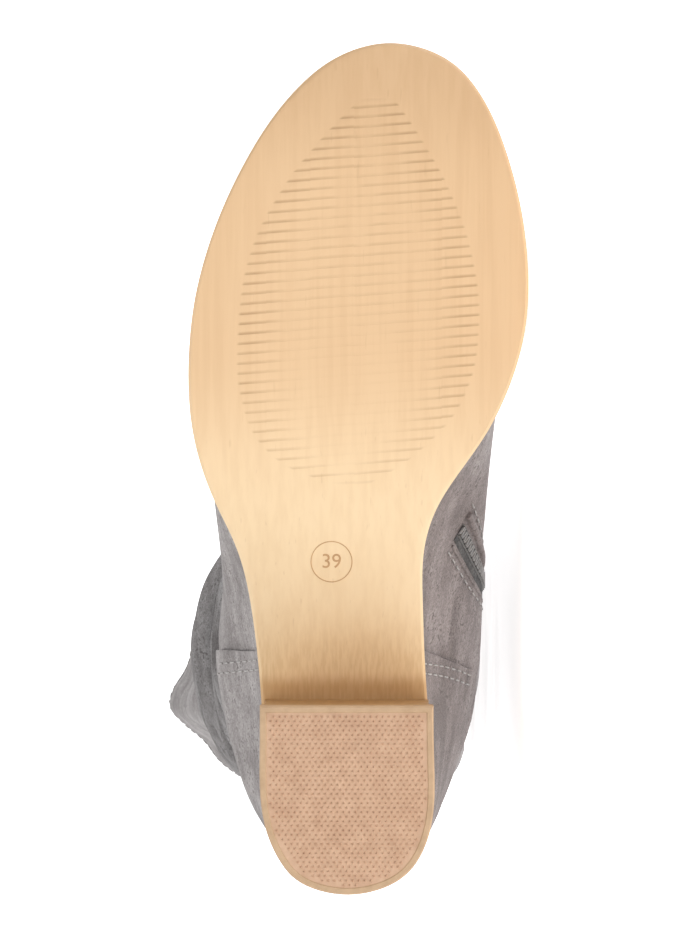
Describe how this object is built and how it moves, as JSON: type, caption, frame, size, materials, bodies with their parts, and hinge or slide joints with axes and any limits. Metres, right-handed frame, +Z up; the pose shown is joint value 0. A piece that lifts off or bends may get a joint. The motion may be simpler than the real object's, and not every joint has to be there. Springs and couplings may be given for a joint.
{
  "type": "thigh high boot",
  "caption": "Thigh high slack suede boot with a block heel, tan outsole and inner side zip, lying on its inner side.",
  "frame": {"origin": "centre of the lying boot's bounding box in X and Y, on the floor it lies on", "axes": "+X from heel to toe, +Y from the sole up the leg to the collar, +Z up from the inner side on the floor to the outer side"},
  "size_m": [0.278, 0.62, 0.131],
  "materials": {
    "suede": "soft grey suede nap",
    "outsole_tan": "smooth, wood-grain print, satin",
    "heel_stack": "stacked-look wrap, satin",
    "top_piece": "fine moulded tread",
    "lining": "soft lining",
    "zip_tape": "woven tape with a coil"
  },
  "bodies": {
    "root": {"outsole": "outsole_tan", "insole": "lining", "heel_block": "heel_stack", "heel_top_piece": "top_piece", "upper": "suede", "heel_counter": "suede", "zip": "zip_tape"}
  },
  "joints": []
}
